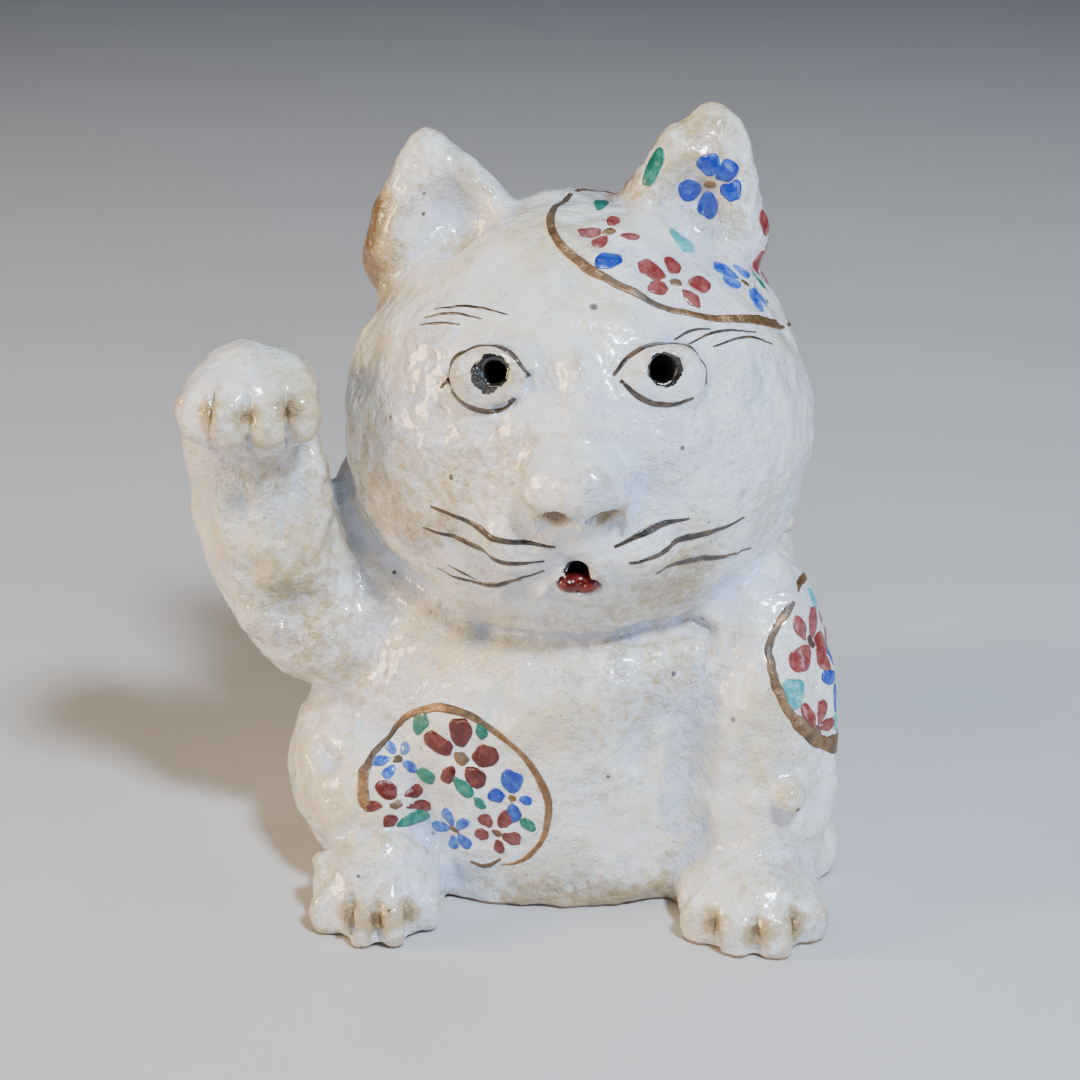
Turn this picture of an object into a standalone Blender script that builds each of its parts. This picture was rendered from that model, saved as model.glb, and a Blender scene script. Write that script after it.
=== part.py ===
"""Beckoning cat figurine, hand built in stoneware.

The pinched body and head are hollow shells, and the limbs, ears and features are
solid clay pieces luted on to them. Metres, +Z up. The cat faces -Y, and its
raised right arm is on the -X side.
"""

import math

import bmesh
import bpy
from mathutils import Euler, Matrix, Vector

MM = 0.001
GAP = 0.35 * MM                      # luting gap left between touching pieces

# Hollow shells
WALL = 5.2 * MM
HEAD_CENTRE = Vector((2.7, -6.0, 74.4)) * MM
HEAD_RADII = Vector((38.3, 38.0, 37.0)) * MM
BODY_CENTRE = Vector((0.4, 0.5, 20.0)) * MM
BODY_RADII = Vector((44.0, 40.5, 36.0)) * MM
BODY_FULLNESS = 3.0                  # exponent of its upright outline: 2 is an ellipse
NECK_HOLE_RADIUS = 18.0 * MM
NECK_HOLE = (Vector((2.7, -4.0, 28.0)) * MM, Vector((2.7, -4.0, 52.0)) * MM)
HEAD_PRESSES = (                     # place, reach and move, in mm
    ((2.0, -44.0, 66.0), 17.0, (0.0, -3.2, 0.0)),       # muzzle
    ((2.0, -41.0, 84.0), 12.0, (0.0, -3.4, 0.0)),       # bridge of the nose
    ((-12.0, -38.0, 96.0), 11.0, (0.0, -0.8, 0.6)),     # right brow
    ((16.0, -38.0, 96.0), 11.0, (0.0, -0.8, 0.6)),      # left brow
    ((4.0, -34.0, 46.0), 18.0, (0.0, -2.0, -0.6)),      # chin
)
FLOOR_BOX = ((-0.1, -0.1, -0.05), (0.1, 0.1, 0.0))      # trims the pieces flat at z = 0

# Neck coil
COLLAR_RADII = (34.6 * MM, 31.0 * MM)
COLLAR_THICKNESS = 6.4 * MM          # radius of the roll
COLLAR_HEIGHT = 49.0 * MM
COLLAR_RISE = 5.5 * MM               # how much higher the nape is than the throat
COLLAR_TILT = 4.0 * MM               # how much higher it is behind the raised arm
COLLAR_OPEN_ANGLE = math.radians(44)  # half angle left open under the chin
COLLAR_STEPS = 26
COLLAR_TIP = 0.45                    # thickness of its open ends, as a share of the full one
COLLAR_TAPER = 3.2                   # how fast it reaches full thickness, per length of the coil

# Face
EYE_RADII = Vector((6.6, 3.4, 5.2)) * MM
EYE_RIGHT = Vector((-11.4, -37.3, 91.8)) * MM
EYE_LEFT = Vector((15.6, -37.0, 92.2)) * MM
RIGHT_PUPIL_SHIFT = Vector((1.8, 0.0, 0.5)) * MM   # the pupils are pierced off centre
LEFT_PUPIL_SHIFT = Vector((-1.6, 0.0, 0.5)) * MM
PUPIL_RADIUS = 2.0 * MM
PUPIL_INSIDE = 14 * MM               # how far the piercing runs behind and before the eye
PUPIL_OUTSIDE = 9 * MM
PUPIL_LEVEL = 0.45                   # the piercing climbs by this share of the eye's own slope
EYE_TURN = 0.75                      # the eye turns outward by this share of its own bearing
NOSE_CENTRE = Vector((2.0, -45.4, 77.4)) * MM
NOSE_RADII = Vector((8.0, 7.0, 6.2)) * MM
NOSTRIL_RADII = Vector((1.5, 2.6, 1.1)) * MM
NOSTRIL_SPREAD = 3.3 * MM
NOSTRIL_FORWARD = 6.6 * MM
NOSTRIL_DROP = 3.0 * MM
VENT_RADIUS = 0.8 * MM
VENT_HOLE = (Vector((2.8, -34.0, 69.4)) * MM, Vector((2.8, -58.0, 69.4)) * MM)
MOUTH_CENTRE = Vector((2.0, -46.0, 62.2)) * MM
MOUTH_RADII = Vector((4.2, 4.6, 3.8)) * MM
TONGUE_SHIFT = Vector((0.0, 0.6, -1.1)) * MM
TONGUE_RADII = Vector((3.2, 3.2, 1.9)) * MM

# Ears: each is a ball pressed into a triangle, with its front scooped out by another ball
EAR_LEAN_BACK = 0.10
RIGHT_EAR = {
    "centre": Vector((-18.8, -1.5, 104.8)) * MM,
    "radii": Vector((13.8, 6.2, 16.8)) * MM,
    "turn": math.radians(-10),
    "lean": -0.4 * MM,
    "width_slope": -0.30,
    "width_bow": -0.26,
    "tip_drift": -3.4 * MM,
    "scoop_centre": Vector((-18.6, -12.4, 103.5)) * MM,
    "scoop_radii": Vector((10.0, 10.2, 15.0)) * MM,
    "scoop_tilt": math.radians(-10),
}
LEFT_EAR = {
    "centre": Vector((20.8, -1.5, 108.6)) * MM,
    "radii": Vector((12.4, 6.0, 17.4)) * MM,
    "turn": math.radians(12),
    "lean": 0.8 * MM,
    "width_slope": -0.22,
    "width_bow": -0.02,
    "tip_drift": 3.0 * MM,
    "scoop_centre": Vector((21.6, -13.0, 109.0)) * MM,
    "scoop_radii": Vector((8.6, 9.4, 14.0)) * MM,
    "scoop_tilt": math.radians(6),
}

# Limbs
ARM_PATH = (                         # x, y, z and radius, shoulder to wrist
    (-25.0, -12.0, 41.0, 11.5),
    (-32.5, -13.0, 40.0, 12.0),
    (-39.2, -13.5, 42.2, 12.0),
    (-44.2, -13.5, 47.6, 11.9),
    (-47.0, -13.5, 55.4, 11.9),
    (-49.2, -14.0, 63.5, 11.7),
    (-50.4, -15.0, 72.0, 11.0),
    (-50.0, -17.5, 79.5, 10.2),
    (-49.4, -20.5, 84.0, 8.0),
)
RAISED_PAW = (Vector((-49.0, -23.0, 83.6)) * MM, Vector((11.0, 11.6, 8.8)) * MM)
FORELEG_PATH = (
    (30.0, -15.0, 50.0, 9.5),
    (31.0, -19.5, 45.5, 11.4),
    (32.2, -23.5, 38.0, 12.2),
    (33.0, -26.5, 29.0, 12.3),
    (33.0, -28.5, 19.0, 12.0),
    (32.2, -30.0, 9.0, 11.8),
    (31.6, -31.0, 1.0, 11.4),
)
FOREPAW = (Vector((30.6, -38.6, 3.6)) * MM, Vector((12.0, 14.6, 8.4)) * MM)
HAUNCH_RADII = Vector((16.2, 25.5, 17.0)) * MM
HAUNCH_RIGHT = Vector((-30.6, -11.5, 15.2)) * MM
HAUNCH_LEFT = Vector((31.2, -6.0, 15.0)) * MM
HINDPAW_RIGHT = (Vector((-29.8, -36.4, 4.2)) * MM, Vector((10.8, 13.9, 9.4)) * MM)
HINDPAW_LEFT = (Vector((41.2, -20.0, 3.2)) * MM, Vector((5.8, 9.6, 6.4)) * MM)
PELLET = (Vector((36.4, -39.6, 22.4)) * MM, Vector((2.5, 2.2, 2.4)) * MM)
TAIL_PATH = (
    (-6.0, 38.0, 9.5, 4.0),
    (1.0, 41.0, 9.0, 5.2),
    (9.0, 42.6, 9.2, 5.6),
    (17.0, 41.6, 10.6, 5.6),
    (24.0, 38.4, 13.0, 5.2),
    (29.0, 34.4, 16.0, 4.4),
    (31.5, 31.6, 18.2, 2.6),
)

# Toe slots: the middles of each paw's slots in mm, and how far the tool leans back
TOE_SLOT_RADII = Vector((0.75, 2.6, 4.2)) * MM
RAISED_SLOTS = ((-54.3, -33.0, 80.2), (-48.2, -34.6, 80.4), (-41.9, -32.2, 80.2))
FOREPAW_SLOTS = ((25.0, -50.6, 4.6), (32.2, -51.8, 4.8), (38.0, -49.4, 4.6))
HINDPAW_SLOTS = ((-34.8, -46.6, 4.6), (-29.0, -48.8, 4.6), (-23.6, -46.8, 4.8))
RAISED_SLOT_LEAN = 0.25
STANDING_SLOT_LEAN = -0.3

WHITE_GLAZE = (0.80, 0.76, 0.68)
RED_ENAMEL = (0.20, 0.02, 0.02)


# ---------------------------------------------------------------- helpers

def clear_scene():
    for obj in list(bpy.data.objects):
        bpy.data.objects.remove(obj, do_unlink=True)


def new_collection(name):
    collection = bpy.data.collections.new(name)
    bpy.context.scene.collection.children.link(collection)
    return collection


def glaze(name, colour, roughness):
    """A Principled material for one clay piece."""
    material = bpy.data.materials.new(name)
    material.use_nodes = True
    shader = material.node_tree.nodes["Principled BSDF"]
    shader.inputs["Base Color"].default_value = (*colour, 1.0)
    shader.inputs["Roughness"].default_value = roughness
    shader.inputs["Metallic"].default_value = 0.0
    return material


def mesh_object(name, form, location=(0, 0, 0), turn=(0, 0, 0)):
    """An object holding this bmesh, its faces pointing out."""
    bmesh.ops.recalc_face_normals(form, faces=form.faces)
    mesh = bpy.data.meshes.new(name)
    form.to_mesh(mesh)
    form.free()
    mesh.shade_smooth()
    obj = bpy.data.objects.new(name, mesh)
    obj.location = location
    obj.rotation_euler = Euler(turn)
    return obj


def ball(name, centre, radii, shape=None, turn=(0, 0, 0), segments=20, rings=12):
    """A ball of clay, scaled to its radii and pressed into shape by a function of the unit sphere."""
    form = bmesh.new()
    bmesh.ops.create_uvsphere(form, u_segments=segments, v_segments=rings, radius=1.0)
    for vertex in form.verts:
        unit = vertex.co.copy()
        vertex.co = Vector(unit[i] * radii[i] for i in range(3))
        if shape:
            vertex.co = shape(unit, vertex.co)
    return mesh_object(name, form, centre, turn)


def rod(name, start, end, radius, sides=10):
    """A straight round tool, used for piercing."""
    form = bmesh.new()
    along = end - start
    turn = along.to_track_quat("Z", "Y").to_matrix().to_4x4()
    bmesh.ops.create_cone(
        form, cap_ends=True, segments=sides, radius1=radius, radius2=radius,
        depth=along.length, matrix=Matrix.Translation((start + end) / 2) @ turn)
    return mesh_object(name, form)


def slab(name, low, high):
    form = bmesh.new()
    low, high = Vector(low), Vector(high)
    bmesh.ops.create_cube(form, size=1.0)
    for vertex in form.verts:
        vertex.co = Vector((low[i] + high[i]) / 2 + vertex.co[i] * (high[i] - low[i]) for i in range(3))
    return mesh_object(name, form)


def roll(name, path):
    """A tapering roll of clay along a path of (x, y, z, radius) in millimetres."""
    points = [Vector(point) * MM for point in path]
    curve = bpy.data.curves.new(name, "CURVE")
    curve.dimensions = "3D"
    curve.bevel_depth = 1.0
    curve.bevel_resolution = 3
    curve.use_fill_caps = True
    spline = curve.splines.new("POLY")
    spline.points.add(len(points) - 1)
    for place, point in zip(spline.points, points):
        place.co = (*point[:3], 1.0)
        place.radius = point[3]
    guide = bpy.data.objects.new(name + "_guide", curve)
    bpy.context.scene.collection.objects.link(guide)
    bpy.context.view_layer.update()
    graph = bpy.context.evaluated_depsgraph_get()
    mesh = bpy.data.meshes.new_from_object(guide.evaluated_get(graph))
    bpy.data.objects.remove(guide, do_unlink=True)
    form = bmesh.new()
    form.from_mesh(mesh)
    bpy.data.meshes.remove(mesh)
    bmesh.ops.remove_doubles(form, verts=form.verts, dist=0.01 * MM)
    return mesh_object(name, form)


def smoothed(path):
    """The path with a point added between each pair, on a Catmull-Rom curve."""
    points = [Vector(point) for point in path]
    full = []
    for i in range(len(points) - 1):
        before = points[max(i - 1, 0)]
        after = points[min(i + 2, len(points) - 1)]
        full.append(points[i])
        full.append((points[i] + points[i + 1]) * 0.5625 - (before + after) * 0.0625)
    full.append(points[-1])
    return full


def pressed(centre, pulls):
    """A shaping function: each pull is (place, reach, move) in millimetres, fading with distance."""
    steps = [(Vector(place) * MM - centre, reach * MM, Vector(move) * MM) for place, reach, move in pulls]

    def shape(_unit, point):
        moved = point.copy()
        for place, reach, move in steps:
            near = max(0.0, 1.0 - (point - place).length / reach)
            moved += move * (near * near * (3 - 2 * near))
        return moved
    return shape


def fuller(exponent):
    """A shaping function that makes an upright outline squarer than an ellipse."""
    def shape(unit, point):
        height = min(abs(unit.z), 1.0)
        round_width = math.sqrt(max(1e-9, 1.0 - height * height))
        full_width = max(0.0, 1.0 - height ** exponent) ** (1.0 / exponent)
        factor = full_width / round_width if height < 0.9999 else 0.0
        return Vector((point.x * factor, point.y * factor, point.z))
    return shape


class Bench:
    """The cat's pieces, and the tools that cut them."""

    def __init__(self):
        self.parts = new_collection("beckoning_cat")
        self.cutters = new_collection("cutters")
        self.cutters.hide_render = True
        self.frame = bpy.data.objects.new("cat_frame", None)
        self.parts.objects.link(self.frame)
        self.pieces = {}
        self.grown = {}
        self.floor = self.tool(slab("floor", *FLOOR_BOX))

    def add(self, obj, colour=WHITE_GLAZE, roughness=0.25):
        self.parts.objects.link(obj)
        obj.parent = self.frame
        obj.data.materials.append(glaze(obj.name + "_glaze", colour, roughness))
        self.pieces[obj.name] = obj
        self.grown[obj.name] = self.swollen(obj)
        return obj

    def tool(self, obj):
        self.cutters.objects.link(obj)
        obj.parent = self.frame
        obj.hide_render = True
        obj.display_type = "WIRE"
        return obj

    def swollen(self, obj):
        """A copy that is one luting gap larger all round."""
        copy = bpy.data.objects.new(obj.name + "_swollen", obj.data)
        copy.location = obj.location
        copy.rotation_euler = obj.rotation_euler
        swell = copy.modifiers.new("gap", "DISPLACE")
        swell.strength = GAP
        swell.mid_level = 0.0
        return self.tool(copy)

    def cut(self, name, *tools):
        for tool in tools:
            modifier = self.pieces[name].modifiers.new("cut_" + tool.name, "BOOLEAN")
            modifier.operation = "DIFFERENCE"
            modifier.solver = "EXACT"
            modifier.object = tool

    def lute(self, name, *neighbours):
        """Cuts a piece to sit against its neighbours, a gap away from each."""
        self.cut(name, *(self.grown[neighbour] for neighbour in neighbours))


# ---------------------------------------------------------------- shells

def add_head(bench):
    shape = pressed(HEAD_CENTRE, HEAD_PRESSES)
    bench.add(ball("head_shell", HEAD_CENTRE, HEAD_RADII, shape, segments=36, rings=22))
    inside = ball("head_hollow", HEAD_CENTRE, HEAD_RADII - Vector((WALL,) * 3), segments=24, rings=14)
    neck = rod("neck_hole", *NECK_HOLE, NECK_HOLE_RADIUS, sides=24)
    vent = rod("vent_hole", *VENT_HOLE, VENT_RADIUS, sides=8)
    mouth = ball("mouth_hollow", MOUTH_CENTRE, MOUTH_RADII, segments=14, rings=8)
    bench.cut("head_shell", *(bench.tool(tool) for tool in (inside, neck, vent, mouth)))


def add_body(bench):
    shape = fuller(BODY_FULLNESS)
    bench.add(ball("body_shell", BODY_CENTRE, BODY_RADII, shape, segments=36, rings=18))
    inside = ball("body_hollow", BODY_CENTRE, BODY_RADII - Vector((WALL,) * 3), shape, segments=28, rings=14)
    bench.lute("body_shell", "head_shell")
    bench.cut("body_shell", bench.tool(inside), bench.floor)


def add_collar(bench):
    path = []
    for i in range(COLLAR_STEPS + 1):
        share = i / COLLAR_STEPS
        angle = -math.pi / 2 + COLLAR_OPEN_ANGLE + share * 2 * (math.pi - COLLAR_OPEN_ANGLE)
        ends = min(share, 1 - share)
        thick = COLLAR_THICKNESS * min(1.0, COLLAR_TIP + COLLAR_TAPER * ends)
        x = BODY_CENTRE.x + COLLAR_RADII[0] * math.cos(angle)
        y = COLLAR_RADII[1] * math.sin(angle)
        z = COLLAR_HEIGHT + COLLAR_RISE * math.sin(angle) - COLLAR_TILT * math.cos(angle)
        path.append(tuple(value / MM for value in (x, y, z, thick)))
    bench.add(roll("neck_collar", path))
    bench.lute("neck_collar", "head_shell", "body_shell")


# ---------------------------------------------------------------- head pieces

def ear_shape(ear):
    """Presses a ball into a triangle: wide at its root, drifting sideways towards its tip."""
    def shape(unit, point):
        width = 1.0 + ear["width_slope"] * unit.z + ear["width_bow"] * unit.z ** 2
        drift = ear["tip_drift"] * max(unit.z, 0.0) ** 2 + ear["lean"] * unit.z
        return Vector((point.x * width + drift, point.y + EAR_LEAN_BACK * point.z, point.z))
    return shape


def add_ear(bench, name, ear):
    turn = (0, 0, ear["turn"])
    bench.add(ball(name, ear["centre"], ear["radii"], ear_shape(ear), turn, segments=20, rings=14))
    scoop = ball(name + "_scoop", ear["scoop_centre"], ear["scoop_radii"],
                 turn=(0, ear["scoop_tilt"], 0), segments=16, rings=10)
    bench.lute(name, "head_shell")
    bench.cut(name, bench.tool(scoop))


def add_eye(bench, name, centre, pupil_shift):
    outward = centre - HEAD_CENTRE
    turn = (0, 0, math.atan2(outward.x, -outward.y) * EYE_TURN)
    bench.add(ball(name, centre, EYE_RADII, turn=turn, segments=18, rings=10))
    bench.lute("head_shell", name)
    direction = outward.normalized()
    direction.z *= PUPIL_LEVEL
    direction.normalize()
    pierced = centre + pupil_shift
    behind = pierced - direction * PUPIL_INSIDE
    before = pierced + direction * PUPIL_OUTSIDE
    pupil = rod(name + "_pupil", behind, before, PUPIL_RADIUS, sides=12)
    bench.tool(pupil)
    bench.cut(name, pupil)
    bench.cut("head_shell", pupil)


def add_nose(bench):
    bench.add(ball("nose", NOSE_CENTRE, NOSE_RADII, segments=18, rings=10))
    bench.lute("nose", "head_shell")
    for side in (-1, 1):
        place = NOSE_CENTRE + Vector((side * NOSTRIL_SPREAD, -NOSTRIL_FORWARD, -NOSTRIL_DROP))
        nostril = ball(f"nostril_{side}", place, NOSTRIL_RADII, segments=10, rings=6)
        bench.cut("nose", bench.tool(nostril))


def add_tongue(bench):
    tongue = ball("tongue", MOUTH_CENTRE + TONGUE_SHIFT, TONGUE_RADII, segments=12, rings=8)
    bench.add(tongue, RED_ENAMEL, roughness=0.12)


# ---------------------------------------------------------------- limbs

def toe_slots(bench, name, slots, lean):
    """Presses the toe slots of a paw."""
    for i, place in enumerate(slots):
        slot = ball(f"{name}_slot_{i}", Vector(place) * MM, TOE_SLOT_RADII,
                    turn=(lean, 0, 0), segments=8, rings=6)
        bench.cut(name, bench.tool(slot))


def add_raised_arm(bench):
    bench.add(ball("raised_paw", *RAISED_PAW, segments=20, rings=12))
    bench.add(roll("raised_arm", ARM_PATH))
    bench.lute("raised_arm", "raised_paw", "body_shell", "neck_collar", "head_shell")
    toe_slots(bench, "raised_paw", RAISED_SLOTS, RAISED_SLOT_LEAN)


def add_haunches(bench):
    bench.add(ball("haunch_right", HAUNCH_RIGHT, HAUNCH_RADII, segments=24, rings=14))
    bench.add(ball("haunch_left", HAUNCH_LEFT, HAUNCH_RADII, segments=24, rings=14))
    for name in ("haunch_right", "haunch_left"):
        bench.lute(name, "body_shell")
        bench.cut(name, bench.floor)


def add_foreleg(bench):
    bench.add(roll("foreleg_left", smoothed(FORELEG_PATH)))
    bench.add(ball("forepaw_left", *FOREPAW, segments=20, rings=12))
    bench.add(ball("wrist_pellet", *PELLET, segments=12, rings=8))
    bench.lute("foreleg_left", "body_shell", "haunch_left", "head_shell", "neck_collar", "forepaw_left")
    bench.lute("forepaw_left", "body_shell", "haunch_left")
    bench.lute("wrist_pellet", "foreleg_left")
    bench.cut("foreleg_left", bench.floor)
    bench.cut("forepaw_left", bench.floor)
    toe_slots(bench, "forepaw_left", FOREPAW_SLOTS, STANDING_SLOT_LEAN)


def add_hindpaws(bench):
    bench.add(ball("hindpaw_right", *HINDPAW_RIGHT, segments=20, rings=12))
    bench.add(ball("hindpaw_left", *HINDPAW_LEFT, segments=16, rings=10))
    bench.lute("hindpaw_right", "body_shell", "haunch_right")
    bench.lute("hindpaw_left", "body_shell", "haunch_left", "forepaw_left", "foreleg_left")
    bench.cut("hindpaw_right", bench.floor)
    bench.cut("hindpaw_left", bench.floor)
    toe_slots(bench, "hindpaw_right", HINDPAW_SLOTS, STANDING_SLOT_LEAN)


def add_tail(bench):
    bench.add(roll("tail", smoothed(TAIL_PATH)))
    bench.lute("tail", "body_shell", "haunch_left")


# ---------------------------------------------------------------- assembly

def stand_on_origin(bench):
    """Moves the frame so that the cat's box is centred on the origin and stands on z = 0."""
    bpy.context.view_layer.update()
    graph = bpy.context.evaluated_depsgraph_get()
    corners = []
    for obj in bench.pieces.values():
        shaped = obj.evaluated_get(graph)
        corners += [shaped.matrix_world @ vertex.co for vertex in shaped.data.vertices]
    low = [min(corner[i] for corner in corners) for i in range(3)]
    high = [max(corner[i] for corner in corners) for i in range(3)]
    bench.frame.location = (-(low[0] + high[0]) / 2, -(low[1] + high[1]) / 2, -low[2])


def main():
    clear_scene()
    bench = Bench()
    add_head(bench)
    add_body(bench)
    add_collar(bench)
    add_ear(bench, "ear_right", RIGHT_EAR)
    add_ear(bench, "ear_left", LEFT_EAR)
    add_eye(bench, "eye_right", EYE_RIGHT, RIGHT_PUPIL_SHIFT)
    add_eye(bench, "eye_left", EYE_LEFT, LEFT_PUPIL_SHIFT)
    add_nose(bench)
    add_tongue(bench)
    add_raised_arm(bench)
    add_haunches(bench)
    add_foreleg(bench)
    add_hindpaws(bench)
    add_tail(bench)
    stand_on_origin(bench)


main()
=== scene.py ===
"""A hand-built beckoning cat in white-glazed stoneware, painted with enamels and lustre."""

import math
import random

import bpy
import numpy as np
from mathutils import Matrix, Vector, noise
from mathutils.bvhtree import BVHTree
from mathutils.kdtree import KDTree


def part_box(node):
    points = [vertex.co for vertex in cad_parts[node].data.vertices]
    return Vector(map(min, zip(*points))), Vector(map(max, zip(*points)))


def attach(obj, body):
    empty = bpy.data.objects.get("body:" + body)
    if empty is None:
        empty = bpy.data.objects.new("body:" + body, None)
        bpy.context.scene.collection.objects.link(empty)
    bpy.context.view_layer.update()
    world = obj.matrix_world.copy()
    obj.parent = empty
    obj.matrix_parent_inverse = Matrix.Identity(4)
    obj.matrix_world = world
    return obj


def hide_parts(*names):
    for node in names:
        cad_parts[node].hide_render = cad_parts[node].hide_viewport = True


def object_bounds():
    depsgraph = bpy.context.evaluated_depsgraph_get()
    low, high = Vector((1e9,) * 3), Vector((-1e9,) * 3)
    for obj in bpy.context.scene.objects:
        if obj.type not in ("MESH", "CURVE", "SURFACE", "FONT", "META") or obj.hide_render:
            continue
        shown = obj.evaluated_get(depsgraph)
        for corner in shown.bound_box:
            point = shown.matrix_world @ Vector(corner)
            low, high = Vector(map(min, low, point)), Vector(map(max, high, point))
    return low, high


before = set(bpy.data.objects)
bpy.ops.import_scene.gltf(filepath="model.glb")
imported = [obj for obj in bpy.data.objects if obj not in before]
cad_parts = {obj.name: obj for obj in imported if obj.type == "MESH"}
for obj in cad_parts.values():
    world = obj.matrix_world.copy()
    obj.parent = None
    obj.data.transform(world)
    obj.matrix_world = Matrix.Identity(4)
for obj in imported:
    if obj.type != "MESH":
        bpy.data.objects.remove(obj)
cad_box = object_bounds()

# The clay under the glaze. The cat is stoneware, pinched and rolled in nineteen pieces that were
# stuck together with slip. The joins were thumbed over while wet, so the pieces run into each
# other in soft hollows, and only the last details, pressed or cut in, stay crisp.
MM = 0.001
body_low, body_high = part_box("body_shell")
AXIS = Vector(((body_low.x + body_high.x) / 2, (body_low.y + body_high.y) / 2, 0))
SLIP = 0.25
WET_GRAIN = 0.8 * MM


def at(x, y, z):
    """A place on the cat, in mm to the right of, behind and above the foot of its axis."""
    return AXIS + Vector((x, y, z)) * MM


def pick(*chosen):
    """Leaves only these objects selected, with the first one active."""
    bpy.ops.object.select_all(action="DESELECT")
    for one in chosen:
        one.select_set(True)
    bpy.context.view_layer.objects.active = chosen[0]


def work(piece, kind, **settings):
    """Adds one modifier to the piece and applies it."""
    pick(piece)
    modifier = piece.modifiers.new(kind.lower(), kind)
    for name, value in settings.items():
        setattr(modifier, name, value)
    bpy.ops.object.modifier_apply(modifier=modifier.name)


def knead(pieces, name):
    """Joins the pieces into one object."""
    pick(*pieces)
    if len(pieces) > 1:
        bpy.ops.object.join()
    whole = bpy.context.object
    whole.name = name
    return whole


def rolled(node, swell):
    """A merged copy of one CAD piece, swollen by some mm so that it meets its neighbours."""
    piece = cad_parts[node].copy()
    piece.data = piece.data.copy()
    bpy.context.collection.objects.link(piece)
    piece.parent = None
    for key in list(piece.keys()):
        del piece[key]
    pick(piece)
    bpy.ops.object.mode_set(mode="EDIT")
    bpy.ops.mesh.select_all(action="SELECT")
    bpy.ops.mesh.remove_doubles(threshold=0.001 * MM)
    bpy.ops.object.mode_set(mode="OBJECT")
    work(piece, "DISPLACE", direction="NORMAL", strength=swell * MM, mid_level=0)
    return piece


def pellet(place, radii, turn=(0, 0, 0)):
    """A dab of clay, or the end of the tool that presses one in: an egg of three radii in mm."""
    bpy.ops.mesh.primitive_uv_sphere_add(segments=32, ring_count=16, radius=MM, location=place)
    egg = bpy.context.object
    egg.scale = radii
    egg.rotation_euler = [math.radians(angle) for angle in turn]
    bpy.ops.object.transform_apply(location=True, rotation=True, scale=True)
    return egg


SOFT_DABS = (
    ((-6.4, -41.6, 66.4), (7.0, 4.2, 5.4)),
    ((9.2, -41.2, 66.4), (7.0, 4.2, 5.4)),
    ((1.2, -38.4, 84.5), (4.6, 5.4, 12.5)),
    ((-34.5, -6.5, 58.0), (5.0, 7.0, 10.0)),
    ((37.0, -8.0, 57.0), (2.0, 3.4, 2.0)),
    ((-25.5, -11.0, 48.0), (5.0, 7.0, 9.0)),
    ((-40.0, -20.0, 66.0), (2.6, 5.0, 11.0)),
    ((-56.6, -16.0, 62.0), (3.6, 4.0, 15.0)),
    ((-47.0, -22.5, 46.0), (7.0, 4.0, 5.0)),
    ((30.6, -33.2, 30.0), (7.4, 6.0, 15.0)),
    ((-9.0, -36.0, 22.0), (11.0, 4.0, 9.0)),
    ((-21.0, -24.0, 46.0), (5.5, 4.6, 4.4)),
    ((24.5, -22.5, 46.0), (4.5, 4.0, 3.6)),
)
clay = knead(
    [rolled(node, SLIP) for node in sorted(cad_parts)]
    + [pellet(at(*place), radii) for place, radii in SOFT_DABS],
    "clay",
)
work(clay, "REMESH", mode="VOXEL", voxel_size=WET_GRAIN)
THUMBED_IN = (
    ((-17.8, -8.8, 109.8), (7.0, 6.6, 7.4), (6, 16, 0)),
    ((-14.6, -9.6, 107.6), (4.6, 4.2, 3.8), (0, 30, 0)),
    ((20.0, -9.4, 112.0), (6.0, 5.2, 8.6), (6, -14, 0)),
    ((19.2, -38.6, 27.0), (3.8, 6.0, 19.0), (-3, 3, 0)),
    ((14.5, -40.4, 31.0), (5.5, 5.0, 15.0), (-5, 0, 0)),
    ((-20.5, -40.5, 14.0), (2.4, 4.0, 9.0), (0, -10, 0)),
    ((-51.0, -28.0, 65.0), (1.8, 3.8, 9.0), (0, 0, 0)),
    ((-45.0, -28.6, 66.0), (4.2, 5.0, 8.0), (8, 6, 0)),
    ((-44.0, -28.4, 49.0), (7.0, 5.0, 5.4), (-24, 20, 0)),
    ((-61.0, -24.0, 60.0), (4.4, 7.0, 12.0), (0, 4, 0)),
    ((-36.0, -26.0, 58.0), (2.6, 6.0, 7.0), (0, 16, 0)),
    ((-34.0, -30.5, 39.0), (6.0, 4.0, 4.4), (0, 24, 0)),
    ((-40.5, -31.0, 24.0), (4.0, 6.0, 2.0), (0, 34, 0)),
)
presses = [pellet(at(*place), radii, turn) for place, radii, turn in THUMBED_IN]

# Under the chin the joint was smoothed with a fingertip, in a row of presses round the neck.
CREASE_MIDDLE = (1.5, -4.0, 46.3)
CREASE_REACH = 31.4
CREASE_ANGLES = range(-26, 39, 8)
FINGERTIP = (4.0, 4.2, 1.7)
FINGER_LIFT = 16
for angle in CREASE_ANGLES:
    turn = math.radians(angle)
    x = CREASE_MIDDLE[0] + CREASE_REACH * math.sin(turn)
    y = CREASE_MIDDLE[1] - CREASE_REACH * math.cos(turn)
    presses.append(pellet(at(x, y, CREASE_MIDDLE[2]), FINGERTIP, (FINGER_LIFT, 0, angle)))
thumb = knead(presses, "thumb")
work(thumb, "REMESH", mode="VOXEL", voxel_size=WET_GRAIN)
work(clay, "BOOLEAN", object=thumb, operation="DIFFERENCE", solver="MANIFOLD")
bpy.data.objects.remove(thumb)
work(clay, "REMESH", mode="VOXEL", voxel_size=WET_GRAIN)
work(clay, "SMOOTH", factor=0.5, iterations=5)

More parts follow.
